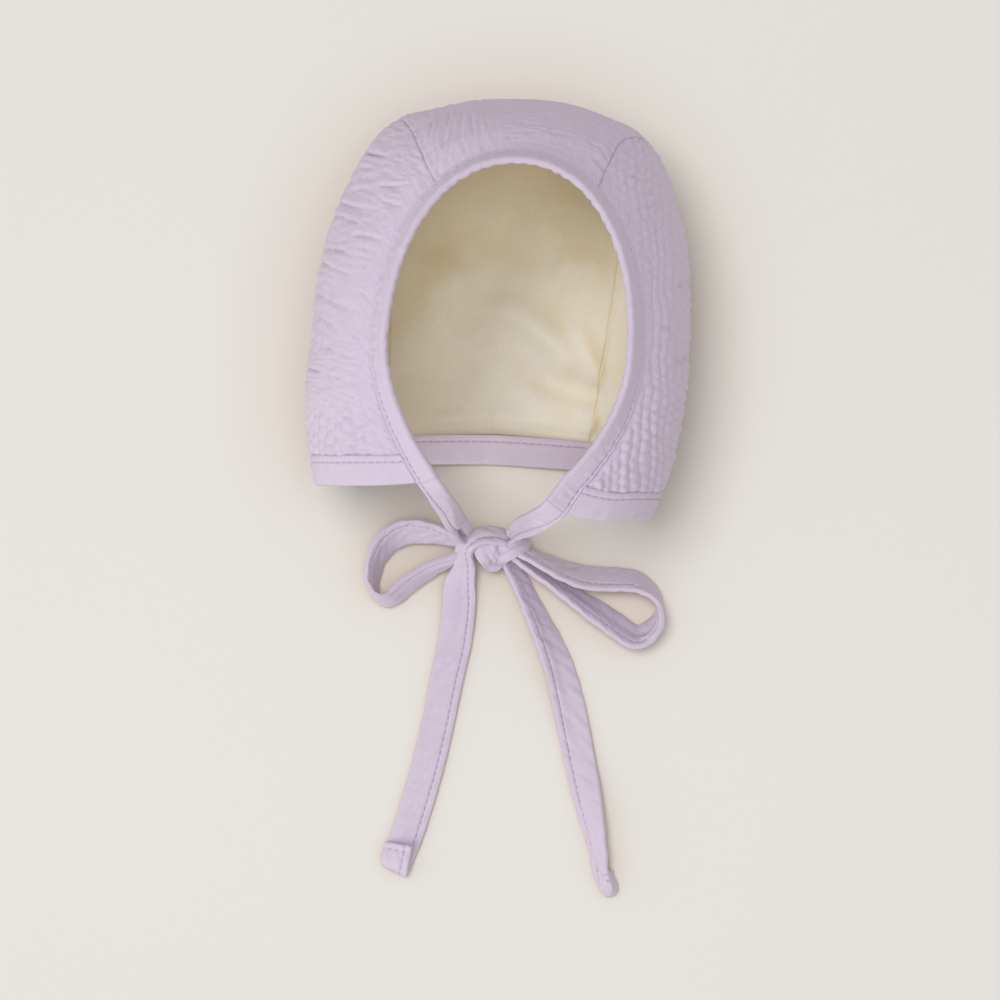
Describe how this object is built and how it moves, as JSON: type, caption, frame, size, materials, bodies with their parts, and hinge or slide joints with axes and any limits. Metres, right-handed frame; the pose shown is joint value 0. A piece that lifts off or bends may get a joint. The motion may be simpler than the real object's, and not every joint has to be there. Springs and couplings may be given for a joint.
{
  "type": "baby bonnet",
  "caption": "Soft lined baby bonnet in crinkled gauze: a centre panel, two side panels, a bound face opening, a neck band and ties tied in a bow, lying on its back.",
  "frame": {"origin": "the middle of the flat patch at the back of the bonnet, on the surface that it rests on", "axes": "+Z points out through the face opening, +Y from the neck edge to the crown, +X to the right as seen looking into the face opening"},
  "size_m": [0.1488, 0.3102, 0.1005],
  "materials": {
    "lilac_gauze": "crinkled double cotton gauze, matt",
    "lilac_tape": "smooth folded cotton tape, matt with a soft sheen",
    "cream_lining": "smooth plain-woven cotton lawn"
  },
  "bodies": {
    "root": {"centre_panel": "lilac_gauze", "side_panel_left": "lilac_gauze", "side_panel_right": "lilac_gauze", "centre_lining": "cream_lining", "side_lining_left": "cream_lining", "side_lining_right": "cream_lining", "face_binding": "lilac_tape", "neck_band": "lilac_tape", "tie_strap_left": "lilac_tape", "tie_strap_right": "lilac_tape", "bow_knot": "lilac_tape", "bow_loop_left": "lilac_tape", "bow_loop_right": "lilac_tape", "tie_tail_left": "lilac_tape", "tie_tail_right": "lilac_tape"}
  },
  "joints": []
}
